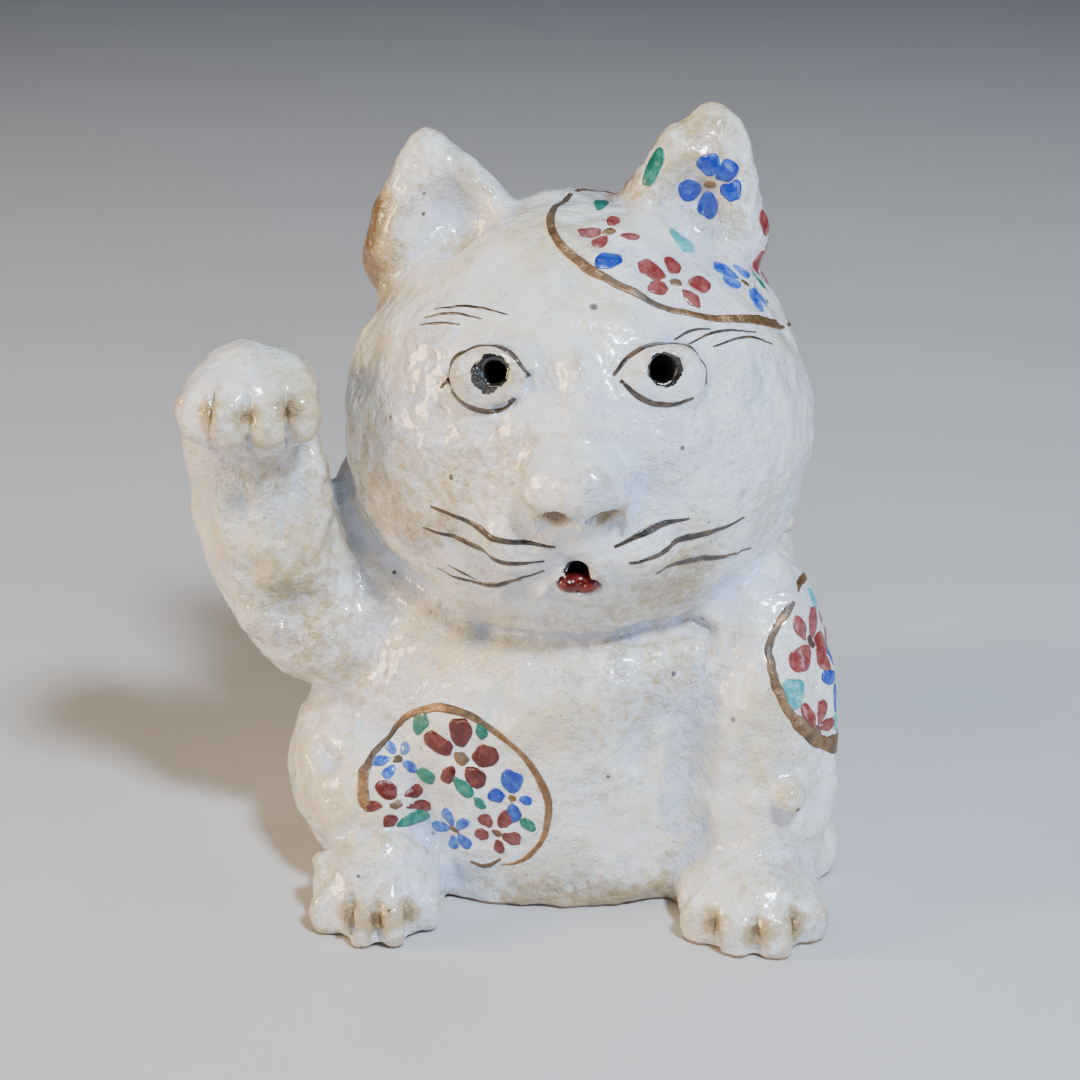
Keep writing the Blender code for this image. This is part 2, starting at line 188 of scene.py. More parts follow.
# The last details, added in firmer clay and then pressed or cut with a tool: the flat eyeballs
# in their grooves, the bulb of the nose with its nostrils, the mouth, the toes and the dab on
# the foreleg. The pupils and the mouth go through the wall. The vent's pinprick heals over.
FINE_GRAIN = 0.55 * MM
TOOL_GRAIN = 0.3 * MM
EYES = {"right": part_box("eye_right"), "left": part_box("eye_left")}
HEAD = at(2.3, -6.5, 74.4)
EYEBALL = (6.2, 3.3, 4.5)
EYE_GROOVE = (6.4, 4.6)
EYE_GROOVE_DEPTH = 0.85
EYE_SUNK = 0.5 * MM
PUPIL = 1.9
PUPIL_SHIFTS = {"right": Vector((1.9, 0, 0.5)) * MM, "left": Vector((-1.7, 0, 0.5)) * MM}


def eye_centre(side):
    """The middle of the eye piece on this side."""
    low, high = EYES[side]
    return (low + high) / 2


def facing(place):
    """The turn that points an object's +Y away from the middle of the head."""
    return (place - HEAD).to_track_quat("Y", "Z").to_matrix().to_4x4()


def ring(place, radii, deep):
    """An oval hoop that stands upright on the head and reaches this many mm into and out of it."""
    stretch = 6
    bpy.ops.mesh.primitive_torus_add(
        major_segments=64, minor_segments=16, major_radius=MM, minor_radius=deep * MM / stretch
    )
    hoop = bpy.context.object
    hoop.scale = (radii[0], radii[1], stretch)
    bpy.ops.object.transform_apply(scale=True)
    hoop.data.transform(Matrix.Translation(place) @ facing(place) @ Matrix.Rotation(math.pi / 2, 4, "X"))
    return hoop


added = []
cuts = []
bores = []
for side in EYES:
    middle = eye_centre(side)
    seat = middle - (middle - HEAD).normalized() * EYE_SUNK
    ball = pellet((0, 0, 0), EYEBALL)
    ball.data.transform(Matrix.Translation(seat) @ facing(middle))
    added.append(ball)
    cuts.append(ring(seat, EYE_GROOVE, EYE_GROOVE_DEPTH))
    hole = middle + PUPIL_SHIFTS[side]
    bore = pellet((0, 0, 0), (PUPIL, 10.0, PUPIL))
    bore.data.transform(Matrix.Translation(hole) @ facing(hole))
    cuts.append(bore)
    bores.append(hole)

nose = at(1.6, -45.9, 77.4)
NOSE_DABS = (
    ((0.3, -1.6, 0.4), (6.6, 5.0, 3.6)),
    ((0.4, -3.4, -1.0), (4.0, 3.2, 2.2)),
    ((-4.8, -1.0, -1.2), (3.6, 3.8, 2.4)),
    ((5.6, -0.8, -1.4), (3.6, 3.8, 2.4)),
    ((0.6, -2.2, -3.6), (1.0, 2.4, 3.6)),
    ((-6.4, -0.2, -4.0), (0.9, 2.2, 3.0)),
    ((7.6, 0.0, -4.2), (0.9, 2.2, 3.0)),
)
NOSTRILS = ((-3.0, 10), (4.3, -10))
NOSTRIL_TOOL = (2.5, 3.8, 2.5)
NOSTRIL_SLOPE = 50
VENT = (2.5, -42.5, 69.2)
VENT_TOOL = (0.9, 6.0, 0.9)
MOUTH_FRONT = -46.5
MOUTH_DEPTH = 7.0
MOUTH_CUTS = ((2.2, 63.4, 1.7), (2.1, 61.8, 2.2), (0.5, 60.9, 1.9), (3.8, 60.7, 1.9))
for offset, radii in NOSE_DABS:
    added.append(pellet(nose + Vector(offset) * MM, radii))
for across, tilt in NOSTRILS:
    nostril = nose + Vector((across, -4.0, -5.0)) * MM
    cuts.append(pellet(nostril, NOSTRIL_TOOL, (NOSTRIL_SLOPE, tilt, 0)))
cuts.append(pellet(at(*VENT), VENT_TOOL))
for across, up, size in MOUTH_CUTS:
    cuts.append(pellet(at(across, MOUTH_FRONT, up), (size, MOUTH_DEPTH, size)))
lip_crumb = pellet(at(-4.0, -42.4, 58.4), (0.8, 1.6, 2.0), (0, 24, 0))
foreleg_pellet = pellet(at(36.2, -41.6, 22.8), (2.8, 2.9, 2.8))
added += [lip_crumb, foreleg_pellet]

# Each paw is the middle and radii of its ball, and the heights and the places of its slots.
PAWS = (
    (at(-49.4, -23.5, 83.6), (11.0, 11.6, 8.8), (3.6, 0.4, -2.8, -5.2), (-5.2, 0.6, 6.6)),
    (at(30.2, -39.1, 3.6), (12.0, 14.6, 8.4), (3.4, 1.0, -1.4), (-6.8, 0.2, 6.2)),
    (at(-30.2, -36.9, 4.2), (10.8, 13.9, 9.4), (3.2, 1.0, -1.4), (-4.4, 0.2, 5.4)),
)


def paw_front(radii, across, height):
    """How far a paw's ball comes forward, at this much to the right of and above its middle."""
    wide, front, tall = radii
    return front * math.sqrt(max(0.1, 1 - (across / wide) ** 2 - (height / tall) ** 2))


KNUCKLE = (3.2, 2.0, 4.2)
SLIT_TOOL = (0.85, 3.0, 2.2)
FAN = 3
slits = []
for middle, radii, heights, slots in PAWS:
    ends = (-1.3 * radii[0], *slots, 1.3 * radii[0])
    for left, right in zip(ends, ends[1:]):
        across = max(-0.76 * radii[0], min(0.76 * radii[0], (left + right) / 2))
        knuckle = Vector((across, 0.8 - paw_front(radii, across, 0), -0.6)) * MM
        added.append(pellet(middle + knuckle, KNUCKLE, (0, 0, across * FAN)))
    for across in slots:
        for height in heights:
            slit = middle + Vector((across, -paw_front(radii, across, height) - 1.2, height)) * MM
            cuts.append(pellet(slit, SLIT_TOOL, (0, 0, across * FAN)))
        slits.append(middle + Vector((across, -paw_front(radii, across, 0), heights[0] * 0.4)) * MM)

# A crest of torn clay was left standing where the right hind paw was pushed on.
CREST_MIDDLE = -30.0
CREST_CRUMBS = 26
CREST_ROUND = 0.04
crumbs = random.Random(3)
for number in range(CREST_CRUMBS):
    along = crumbs.uniform(-10, 9)
    forward = crumbs.uniform(38.2, 41.0)
    up = crumbs.uniform(12.0, 13.6) - CREST_ROUND * along**2
    crumb = at(CREST_MIDDLE + along, -forward, up)
    added.append(pellet(crumb, [crumbs.uniform(0.8, 1.6) for axis in range(3)]))

clay = knead([clay, *added], "clay")
work(clay, "REMESH", mode="VOXEL", voxel_size=FINE_GRAIN)
work(clay, "SMOOTH", factor=0.5, iterations=5)
tools = knead(cuts, "tools")
work(tools, "REMESH", mode="VOXEL", voxel_size=TOOL_GRAIN)
work(clay, "BOOLEAN", object=tools, operation="DIFFERENCE", solver="MANIFOLD")
bpy.data.objects.remove(tools)
work(clay, "REMESH", mode="VOXEL", voxel_size=FINE_GRAIN)
work(clay, "SMOOTH", factor=0.5, iterations=2)

# The hand of the maker: broad thumbed unevenness, smaller lumps, and the fine crawl where the
# glaze ran thick. The foot was set down wet, so the bottom edge is flat.
UNEVENNESS = (("thumbed", 12, 2.4), ("lumps", 4.4, 0.85), ("crawl", 1.4, 0.30))
SPARE = 0.8 * MM
for name, size, height in UNEVENNESS:
    grain = bpy.data.textures.new(name, "CLOUDS")
    grain.noise_scale = size * MM
    grain.noise_depth = 1
    work(clay, "DISPLACE", texture=grain, texture_coords="LOCAL", strength=height * MM, mid_level=0.5)
places = np.empty(len(clay.data.vertices) * 3, np.float32)
clay.data.vertices.foreach_get("co", places)
places = places.reshape(-1, 3)
low_corner, high_corner = (np.array(corner) for corner in cad_box)
places = np.clip(places, low_corner - (SPARE, SPARE, 0), high_corner + SPARE)
clay.data.vertices.foreach_set("co", places.ravel())
clay.data.update()


# What the glaze does on each spot of the clay is kept with its points: "thin" is above 0 on
# edges and below 0 in hollows, "deep" grows in the broad valleys and paints shade there,
# "iron" is where rust-coloured clay shows through, where rust colour paints shade beside the
# nose and in the nostrils, and where the toe slits are darker, "bare" is where there is no
# glaze, and "ink" is above 0 where black enamel was let into a pupil and where black paints
# the shadow in the mouth and in the vent.
def points_of(piece, field):
    """A vector field of the piece's points, such as their places, as rows of three."""
    values = np.empty(len(piece.data.vertices) * 3, np.float32)
    piece.data.vertices.foreach_get(field, values)
    return values.reshape(-1, 3)


normals = points_of(clay, "normal")
melted = clay.copy()
melted.data = clay.data.copy()
bpy.context.collection.objects.link(melted)
thin = np.zeros(len(places), np.float32)
SMOOTHINGS = ((6, 7.0), (40, 1.3), (140, 0.5))
for rounds, gain in SMOOTHINGS:
    work(melted, "SMOOTH", factor=0.7, iterations=rounds)
    rise = ((places - points_of(melted, "co")) * normals).sum(axis=1) / MM
    thin += np.clip(rise * gain, -1, 1) * 0.5
# How far each spot lies in a broad valley: the glaze paints shade there.
deep = np.clip(-rise * 0.8, 0, 1).astype(np.float32)
bpy.data.objects.remove(melted)

# Rust-coloured spots: a middle, a reach in mm and a strength. Most are iron in the clay. Those down the left
# side of the head are partly painted warm light and shade, and those on the left flank of the nose and the
# left cheek paint the shade there.
STAINS_AND_SHADE = (
    ((-29.0, -30.0, 66.0), 13, 0.60),
    ((-32.0, -22.0, 84.0), 12, 0.25),
    ((-7.0, -42.0, 81.0), 6, 0.55),
    ((-17.0, -38.0, 74.0), 9, 0.38),
    ((-20.0, -32.0, 95.0), 8, 0.30),
    ((-34.0, -2.0, 99.0), 7, 1.90),
    ((-31.5, -2.0, 109.0), 5, 1.40),
    ((-14.0, -6.0, 101.0), 5, 1.20),
    ((11.0, -2.0, 112.0), 9, 0.55),
    ((28.0, -8.0, 110.0), 8, 0.40),
    ((22.0, -4.0, 123.0), 7, 0.60),
    ((-6.0, -39.0, -1.0), 7, 0.9),
    ((6.0, -39.0, -1.0), 7, 0.9),
    ((16.0, -38.0, -1.0), 7, 0.9),
    ((-30.0, -42.0, 6.0), 12, 0.45),
    ((33.0, -45.0, 7.0), 12, 0.40),
    ((18.0, -36.0, 60.0), 9, 0.45),
    ((4.0, -36.0, 53.0), 10, 0.40),
    ((8.0, -38.0, 36.0), 8, 0.40),
    ((9.0, -40.0, 22.0), 7, 0.35),
    ((-45.0, -24.0, 52.0), 10, 0.55),
    ((-38.0, -28.0, 36.0), 12, 0.50),
    ((20.0, -34.0, 44.0), 10, 0.40),
    ((-49.0, -26.0, 74.0), 8, 0.45),
    ((14.0, -36.0, 62.0), 9, 0.30),
    ((44.0, 0.0, 14.0), 14, 0.40),
    ((0.0, 40.0, 30.0), 20, 0.45),
    ((-8.0, 30.0, 92.0), 18, 0.40),
)
# The nostrils get rust colour in their pits as painted shade, and the toe slits are darker too.
SLIT_DARKENING = (2.2, 1.3)
NOSTRIL_SHADE = (2.1, 2.5)
nostril_shade_spots = [nose + Vector((across, -1.8, -3.4)) * MM for across, tilt in NOSTRILS]
iron_and_shade = np.zeros(len(places), np.float32)
stains_and_shade = [(at(*place), reach, strength) for place, reach, strength in STAINS_AND_SHADE]
stains_and_shade += [(spot, *SLIT_DARKENING) for spot in slits]
stains_and_shade += [(spot, *NOSTRIL_SHADE) for spot in nostril_shade_spots]
for place, reach, strength in stains_and_shade:
    away = np.linalg.norm(places - np.array(place), axis=1) / (reach * MM)
    iron_and_shade += strength * np.exp(-(away**2))

# The insides of the hollow head and body, and the foot, stayed bare.
HOLLOWS = ((HEAD, (37, 36.5, 36)), (at(0, 0, 20), (42, 38.5, 44)))
WELL_INSIDE = 0.94
FACING_IN = -0.3
BARE_FOOT = 0.9 * MM
inward = np.zeros(len(places), np.float32)
for middle, radii in HOLLOWS:
    ray = (places - np.array(middle)) / (np.array(radii) * MM)
    reach = np.linalg.norm(ray, axis=1)
    turned = (ray * normals).sum(axis=1) / np.maximum(reach, 1e-6)
    inward = np.maximum(inward, np.where((reach < WELL_INSIDE) & (turned < FACING_IN), 1.0, 0.0))
foot = np.clip((BARE_FOOT - places[:, 2]) / (0.5 * MM), 0, 1)
bare = np.maximum(inward, foot).astype(np.float32)

# Black enamel lines the pupils, and an iris spills out of each pupil. The black in the mouth and in the vent
# is painted shadow.
NO_INK = -9.0
# Black round a middle, out to a reach in mm: painted shadow in the mouth and in the vent.
SHADOWED_HOLES = ((at(2.0, -43.0, 62.4), 3.2), (at(2.5, -43.5, 69.2), 1.2))
ink_and_shadow = np.full(len(places), NO_INK, np.float32)
for middle, reach in SHADOWED_HOLES:
    away = np.linalg.norm(places - np.array(middle), axis=1) / MM
    ink_and_shadow = np.maximum(ink_and_shadow, reach - away)
IRIS = 2.45
IRIS_SHIFTS = (Vector((-1.0, 0, -0.8)) * MM, Vector((0.6, 0, -0.5)) * MM)
for hole, shift in zip(bores, IRIS_SHIFTS):
    along = np.array((hole - HEAD).normalized())
    for centre, reach, inside in ((hole + shift, IRIS, 4), (hole, PUPIL + 0.6, 24)):
        ray = places - np.array(centre)
        depth = ray @ along / MM
        away = np.linalg.norm(ray / MM - depth[:, None] * along, axis=1)
        ink_and_shadow = np.where((depth > -inside) & (depth < 9), np.maximum(ink_and_shadow, reach - away), ink_and_shadow)
ON_CLAY = {"thin": thin, "deep": deep, "iron_and_shade": iron_and_shade, "bare": bare, "ink_and_shadow": ink_and_shadow}

# The glaze. A fat tin-white glaze over iron-bearing clay: milky and slightly blue where it
# pools, cream to rust where it is thin, peppered with iron specks and pinholes, with a skin
# like orange peel that is glossy in some places and dry in others. The same blue is laid
# into the broad valleys as painted shade, and rust colour paints shade beside the nose.
WHITE = (0.82, 0.81, 0.79, 1)
# Bluish white of pooled glaze, used also as painted shade in the broad valleys.
POOL_AND_SHADE_BLUE = (0.58, 0.65, 0.85, 1)
CREAM = (0.72, 0.63, 0.44, 1)
OCHRE = (0.46, 0.34, 0.16, 1)
RUST = (0.15, 0.075, 0.03, 1)
ASH = (0.22, 0.17, 0.12, 1)
SPECK = (0.035, 0.022, 0.014, 1)
BUFF_CLAY = (0.34, 0.22, 0.13, 1)
# Black enamel, used also as painted shadow in the mouth, the vent and on top of the tongue.
BLACK_ENAMEL_AND_SHADOW = (0.012, 0.011, 0.010, 1)


class Mix:
    """Places nodes in one tree and links them: each call gives back the new node's output."""

    def __init__(self, tree):
        self.tree = tree

    def node(self, kind, inputs=(), out=0, **settings):
        made = self.tree.nodes.new(kind)
        for name, value in settings.items():
            setattr(made, name, value)
        for name, value in dict(inputs).items():
            if isinstance(value, bpy.types.NodeSocket):
                self.tree.links.new(value, made.inputs[name])
            else:
                made.inputs[name].default_value = value
        return made.outputs[out]

    def sum(self, kind, first, second, clamp=False):
        return self.node("ShaderNodeMath", {0: first, 1: second}, operation=kind, use_clamp=clamp)

    def noise(self, where, per_mm, detail=3, rough=0.55):
        inputs = {"Vector": where, "Scale": 1000 * per_mm, "Detail": detail, "Roughness": rough}
        return self.node("ShaderNodeTexNoise", inputs)

    def ramp(self, value, low, high, first=0.0, last=1.0):
        inputs = {"Value": value, "From Min": low, "From Max": high, "To Min": first, "To Max": last}
        return self.node("ShaderNodeMapRange", inputs, interpolation_type="SMOOTHSTEP")

    def blend(self, factor, under, over):
        made = self.tree.nodes.new("ShaderNodeMix")
        made.data_type = "RGBA"
        used = {socket.name: socket for socket in made.inputs if socket.enabled}
        for name, value in (("Factor", factor), ("A", under), ("B", over)):
            if isinstance(value, bpy.types.NodeSocket):
                self.tree.links.new(value, used[name])
            else:
                used[name].default_value = value
        return next(socket for socket in made.outputs if socket.enabled)


def effect(name, inputs, outputs):
    """An empty node group with these float or vector inputs and float outputs."""
    group = bpy.data.node_groups.new(name, "ShaderNodeTree")
    for label, kind in inputs:
        group.interface.new_socket(label, in_out="INPUT", socket_type=kind)
    for label, kind in outputs:
        group.interface.new_socket(label, in_out="OUTPUT", socket_type=kind)
    return group, group.nodes.new("NodeGroupInput").outputs, group.nodes.new("NodeGroupOutput").inputs


FLOAT, VECTOR = "NodeSocketFloat", "NodeSocketVector"
peel, given, gives = effect("orange_peel", [("Place", VECTOR)], [("Height", FLOAT), ("Dry", FLOAT)])
mix = Mix(peel)
swell = mix.noise(given["Place"], 0.35, 2)
pimple = mix.noise(given["Place"], 1.1, 2)
grit = mix.noise(given["Place"], 3.2, 2, 0.6)
dry = mix.ramp(mix.noise(given["Place"], 0.08, 5, 0.7), 0.44, 0.60)
height = mix.sum("MULTIPLY", swell, 0.5)
height = mix.sum("ADD", height, mix.sum("MULTIPLY", pimple, 0.35))
gritty = mix.sum("MULTIPLY", grit, mix.ramp(dry, 0, 1, 0.06, 0.45))
peel.links.new(mix.sum("ADD", height, gritty), gives["Height"])
peel.links.new(dry, gives["Dry"])

given_to_specks = [("Place", VECTOR), ("Spacing", FLOAT), ("Size", FLOAT)]
specks, given, gives = effect("iron_specks", given_to_specks, [("Speck", FLOAT)])
mix = Mix(specks)
cells = specks.nodes.new("ShaderNodeTexVoronoi")
specks.links.new(given["Place"], cells.inputs["Vector"])
specks.links.new(mix.sum("DIVIDE", 1000.0, given["Spacing"]), cells.inputs["Scale"])
few = mix.node("ShaderNodeSeparateColor", {"Color": cells.outputs["Color"]})
edge = mix.sum("MULTIPLY", mix.ramp(few, 0.55, 1.0), given["Size"])
near = mix.sum("SUBTRACT", edge, cells.outputs["Distance"])
specks.links.new(mix.ramp(near, 0.0, 0.05), gives["Speck"])


def new_finish(name):
    """A material with an empty tree, its shader and a Mix for its nodes."""
    finish = bpy.data.materials.new(name)
    finish.use_nodes = True
    shader = finish.node_tree.nodes["Principled BSDF"]
    return finish, shader, Mix(finish.node_tree)


def place_group(mix, group, inputs):
    """Puts the node group into the material and gives back all its outputs."""
    made = mix.tree.nodes.new("ShaderNodeGroup")
    made.node_tree = group
    for name, value in inputs.items():
        if isinstance(value, bpy.types.NodeSocket):
            mix.tree.links.new(value, made.inputs[name])
        else:
            made.inputs[name].default_value = value
    return made.outputs


def kept(mix, name):
    """A value that was kept with the clay's points."""
    return mix.node("ShaderNodeAttribute", out="Fac", attribute_name=name)


glaze, shader, mix = new_finish("white_glaze")
place = mix.node("ShaderNodeTexCoord", out="Object")
skin = place_group(mix, peel, {"Place": place})
thin_spot = mix.sum("ADD", kept(mix, "thin"), mix.sum("SUBTRACT", mix.noise(place, 0.5, 4), 0.5))
broad = mix.noise(place, 0.045, 5, 0.62)
mottle = mix.noise(place, 0.42, 5, 0.7)
colour = mix.blend(mix.ramp(broad, 0.50, 0.64, 0, 0.9), WHITE, CREAM)
pooled_and_shaded = mix.sum("ADD", mix.ramp(thin_spot, 0.1, -0.8, 0, 0.35), mix.ramp(broad, 0.50, 0.34, 0, 0.6))
# In the broad valleys the pool colour is painted shade.
pooled_and_shaded = mix.sum("ADD", pooled_and_shaded, mix.sum("MULTIPLY", kept(mix, "deep"), 0.5), clamp=True)
colour = mix.blend(pooled_and_shaded, colour, POOL_AND_SHADE_BLUE)
# Rust colour where iron shows, which also paints shade beside the nose and in the nostrils.
rust_and_shade = mix.sum("ADD", mottle, mix.sum("MULTIPLY", kept(mix, "iron_and_shade"), 0.55))
colour = mix.blend(mix.ramp(rust_and_shade, 0.58, 0.95, 0, 0.9), colour, OCHRE)
colour = mix.blend(mix.ramp(rust_and_shade, 0.92, 1.35, 0, 0.9), colour, RUST)
colour = mix.blend(mix.ramp(thin_spot, 0.45, 1.1, 0, 0.6), colour, OCHRE)
grainy = mix.sum("ADD", mix.noise(place, 1.4, 3, 0.7), mix.sum("MULTIPLY", kept(mix, "iron_and_shade"), 0.12))
smoky = mix.sum("MULTIPLY", skin["Dry"], mix.ramp(grainy, 0.56, 0.70))
colour = mix.blend(mix.sum("MULTIPLY", smoky, 0.6), colour, ASH)
SPECK_SIZES = ((1.5, 0.10), (5.0, 0.13), (12.0, 0.085))
for spacing, size in SPECK_SIZES:
    spots = place_group(mix, specks, {"Place": place, "Spacing": spacing, "Size": size})
    strength = mix.ramp(skin["Dry"], 0, 1, 0.15, 0.9) if spacing < 2 else 0.9
    there = mix.sum("MULTIPLY", spots["Speck"], strength)
    colour = mix.blend(there, colour, SPECK)
wobble = mix.sum("MULTIPLY", mix.sum("SUBTRACT", mix.noise(place, 0.9, 4), 0.5), 1.6)
# Black enamel in the pupils, and black as painted shadow in the mouth and the vent.
inked_and_shadowed = mix.ramp(mix.sum("ADD", kept(mix, "ink_and_shadow"), wobble), -0.08, 0.12)
colour = mix.blend(inked_and_shadowed, colour, BLACK_ENAMEL_AND_SHADOW)
unglazed = mix.ramp(kept(mix, "bare"), 0.3, 0.7)
colour = mix.blend(unglazed, colour, mix.blend(mottle, BUFF_CLAY, RUST))
mix.tree.links.new(colour, shader.inputs["Base Color"])
gloss = mix.ramp(skin["Dry"], 0, 1, 0.13, 0.38)
mix.tree.links.new(mix.blend(unglazed, gloss, (0.9, 0.9, 0.9, 1)), shader.inputs["Roughness"])
bump = {"Height": skin["Height"], "Strength": 1.0, "Distance": 0.8 * MM}
mix.tree.links.new(mix.node("ShaderNodeBump", bump), shader.inputs["Normal"])
shader.inputs["Coat Weight"].default_value = 0.8
shader.inputs["Coat Roughness"].default_value = 0.10
shader.inputs["IOR"].default_value = 1.5

# The pieces of the skin. Each part keeps its own name: it is cut out of the skin where that
# part's clay lies, so that neighbours meet on a hidden face inside the join, and it keeps the
# skin's own surface directions, so that no seam shows on the glaze.
lookup = KDTree(len(places))
for index, spot in enumerate(places):
    lookup.insert(spot, index)
lookup.balance()
surface = BVHTree.FromObject(clay, bpy.context.evaluated_depsgraph_get())
CUT_GRAIN = 1.1 * MM


def dress(piece, node):
    """Gives a cut piece the skin's directions and kept values, its glaze and its body."""
    piece.name = node + "_glazed"
    nearest = np.array([lookup.find(point.co)[1] for point in piece.data.vertices])
    pick(piece)
    bpy.ops.object.shade_smooth()
    piece.data.normals_split_custom_set_from_vertices(normals[nearest].tolist())
    for label, values in ON_CLAY.items():
        field = piece.data.attributes.get(label)
        if field:
            piece.data.attributes.remove(field)
        field = piece.data.attributes.new(label, "FLOAT", "POINT")
        field.data.foreach_set("value", values[nearest].astype(np.float32))
    piece.data.materials.clear()
    piece.data.materials.append(glaze)
    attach(piece, "root")
    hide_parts(node)


def cut_out(whole, node, margin):
    """Cuts the part of the skin that lies within the margin, in mm, of this CAD piece."""
    around = rolled(node, margin)
    work(around, "REMESH", mode="VOXEL", voxel_size=CUT_GRAIN)
    work(around, "SMOOTH", factor=0.5, iterations=4)
    piece = whole.copy()
    piece.data = whole.data.copy()
    bpy.context.collection.objects.link(piece)
    work(piece, "BOOLEAN", object=around, operation="INTERSECT", solver="MANIFOLD")
    work(whole, "BOOLEAN", object=around, operation="DIFFERENCE", solver="MANIFOLD")
    bpy.data.objects.remove(around)
    return piece


MARGINS = (
    ("wrist_pellet", 1.2),
    ("eye_right", 0.7),
    ("eye_left", 0.7),
    ("nose", 1.2),
    ("ear_right", 1.6),
    ("ear_left", 1.6),
    ("raised_paw", 1.6),
    ("raised_arm", 2.4),
    ("forepaw_left", 1.6),
    ("foreleg_left", 2.4),
    ("hindpaw_right", 1.6),
    ("hindpaw_left", 1.6),
    ("haunch_right", 1.8),
    ("haunch_left", 1.8),
    ("tail", 1.8),
    ("head_shell", 2.6),
    ("neck_collar", 2.6),
)
skin_pieces = {}
for node, margin in MARGINS:
    skin_pieces[node] = cut_out(clay, node, margin)
skin_pieces["body_shell"] = clay
for node, piece in skin_pieces.items():
    dress(piece, node)

# The tongue: a pellet of clay pressed into the mouth and flooded with dark red enamel. It has
# two lobes with a bridge between them, and its top turns black as painted shadow under the lip.
TONGUE_RED = (0.075, 0.004, 0.004, 1)
TONGUE_BRIGHT = (0.15, 0.010, 0.008, 1)
TONGUE_GRAIN = 0.22 * MM
# Heights between which the tongue turns black as painted shadow.
SHADOW_FROM, SHADOW_ABOVE = 61.8 * MM, 63.0 * MM
right_lobe = pellet(at(0.4, -42.6, 60.6), (2.2, 2.5, 1.6), (0, 24, 0))
left_lobe = pellet(at(3.4, -42.6, 60.6), (2.3, 2.7, 1.7), (0, -20, 0))
bridge = pellet(at(1.9, -42.4, 61.2), (1.8, 2.2, 1.4))
tongue = knead([right_lobe, left_lobe, bridge], "tongue_pellet")
work(tongue, "REMESH", mode="VOXEL", voxel_size=TONGUE_GRAIN)
work(tongue, "SMOOTH", factor=0.5, iterations=6)
pick(tongue)
bpy.ops.object.shade_smooth()
red_glass, shader, mix = new_finish("tongue_enamel")
place = mix.node("ShaderNodeTexCoord", out="Object")
flow = mix.noise(place, 0.7, 4)
colour = mix.blend(mix.ramp(flow, 0.35, 0.7), TONGUE_RED, TONGUE_BRIGHT)
level = mix.node("ShaderNodeSeparateXYZ", {"Vector": place}, out="Z")
# The top of the tongue turns black: painted shadow under the upper lip.
colour = mix.blend(mix.ramp(level, SHADOW_FROM, SHADOW_ABOVE), colour, BLACK_ENAMEL_AND_SHADOW)
mix.tree.links.new(colour, shader.inputs["Base Color"])
mix.tree.links.new(mix.ramp(flow, 0.3, 0.7, 0.14, 0.34), shader.inputs["Roughness"])
bump = {"Height": flow, "Strength": 0.3, "Distance": 0.2 * MM}
mix.tree.links.new(mix.node("ShaderNodeBump", bump), shader.inputs["Normal"])
shader.inputs["Coat Weight"].default_value = 0.3
shader.inputs["Coat Roughness"].default_value = 0.08
tongue.data.materials.append(red_glass)
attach(tongue, "root")
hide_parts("tongue")

# The enamel painting. It was drawn with a brush on the fired glaze, so each dab stands about
# two tenths of a millimetre proud. A drawing is made flat, in mm, and then laid on the clay
# round a root point inside it.
DAB_HEIGHT = 0.20
LINE_HEIGHT = 0.17
SUNK = 0.12
SPREAD = 1.12
CLEAR = 30
hand = random.Random(7)


def laid_on(root, azimuth, elevation, radius):
    """How a flat drawing is wrapped: its middle's direction from the root, and its radius."""
    turn, lift = math.radians(azimuth), math.radians(elevation)
    out = Vector((math.sin(turn) * math.cos(lift), -math.cos(turn) * math.cos(lift), math.sin(lift)))
    right = Vector((math.cos(turn), math.sin(turn), 0))
    return root, out, right, out.cross(right), radius


def lay(drawing, wrap):
    """Lays a flat drawing on the clay: x and y run along the glaze, and z stands off it."""
    root, out, right, up, radius = wrap
    for point in drawing.data.vertices:
        x, y, z = point.co
        far = math.hypot(x, y)
        swing = far / radius
        side = (right * x + up * y) / max(far, 1e-6)
        ray = out * math.cos(swing) + side * math.sin(swing)
        hit, normal, _, _ = surface.ray_cast(root + ray * (radius + CLEAR) * MM, -ray)
        if hit is None:
            raise ValueError(drawing.name + " misses the clay")
        point.co = hit + normal * z * MM
    drawing.data.update()


def dab(x, y, length, width, bearing):
    """One touch of the brush: a low lens with a wavering edge, blunter at its outer end."""
    bpy.ops.mesh.primitive_uv_sphere_add(segments=26, ring_count=9, radius=1)
    touch = bpy.context.object
    seed = hand.uniform(0, 90)
    swing = Matrix.Rotation(math.radians(bearing), 3, "Z")
    for point in touch.data.vertices:
        around = math.atan2(point.co.y, point.co.x)
        waver = 1 + 0.24 * noise.noise(Vector((math.cos(around), math.sin(around), seed)) * 1.4)
        blunt = 1 + 0.16 * point.co.x
        level = DAB_HEIGHT * abs(point.co.z) ** 0.55 if point.co.z > 0 else -SUNK * abs(point.co.z)
        flat = Vector((point.co.x * length, point.co.y * width * blunt, 0)) * waver * SPREAD
        point.co = swing @ flat + Vector((x, y, level))
    return touch


def flower(x, y, reach, length, width, *bearings):
    """Petals round a point. A bearing may come with a size, for a petal that is bigger."""
    petals = []
    for bearing in bearings:
        bearing, size = bearing if isinstance(bearing, tuple) else (bearing, 1)
        swing = math.radians(bearing + hand.uniform(-5, 5))
        out = reach * hand.uniform(0.95, 1.05) * (0.65 + 0.35 * size)
        long = length * size * hand.uniform(0.9, 1.1)
        wide = width * size * hand.uniform(0.85, 1.15)
        petals.append(dab(x + out * math.cos(swing), y + out * math.sin(swing), long, wide, bearing))
    return petals


